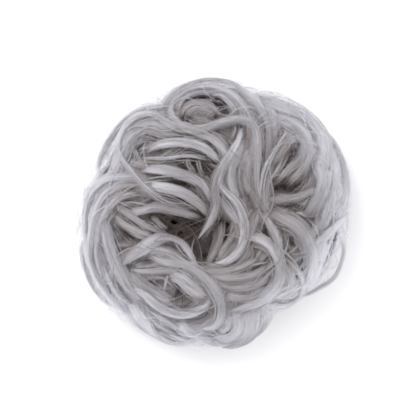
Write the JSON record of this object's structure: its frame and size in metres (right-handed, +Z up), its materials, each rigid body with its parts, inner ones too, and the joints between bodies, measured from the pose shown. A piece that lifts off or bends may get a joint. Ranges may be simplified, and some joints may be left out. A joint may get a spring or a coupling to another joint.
{
  "type": "top knot hairpiece",
  "caption": "Messy curled round of synthetic hair sewn to an elastic loop, worn over a bun or ponytail as a top knot.",
  "frame": {"origin": "centre of the round in plan, on the surface that it lies on", "axes": "+Z up out of the top of the knot, away from the elastic loop; +X to the right and +Y to the top of the picture"},
  "size_m": [0.1302, 0.1312, 0.0556],
  "materials": {
    "elastic_band": "matt black covered elastic",
    "weft_ring": "matt grey sewn weft",
    "hair_locks": "satin silver grey synthetic hair"
  },
  "bodies": {
    "root": {"elastic_band": "elastic_band", "weft_ring": "weft_ring", "hair_locks": "hair_locks"}
  },
  "joints": []
}
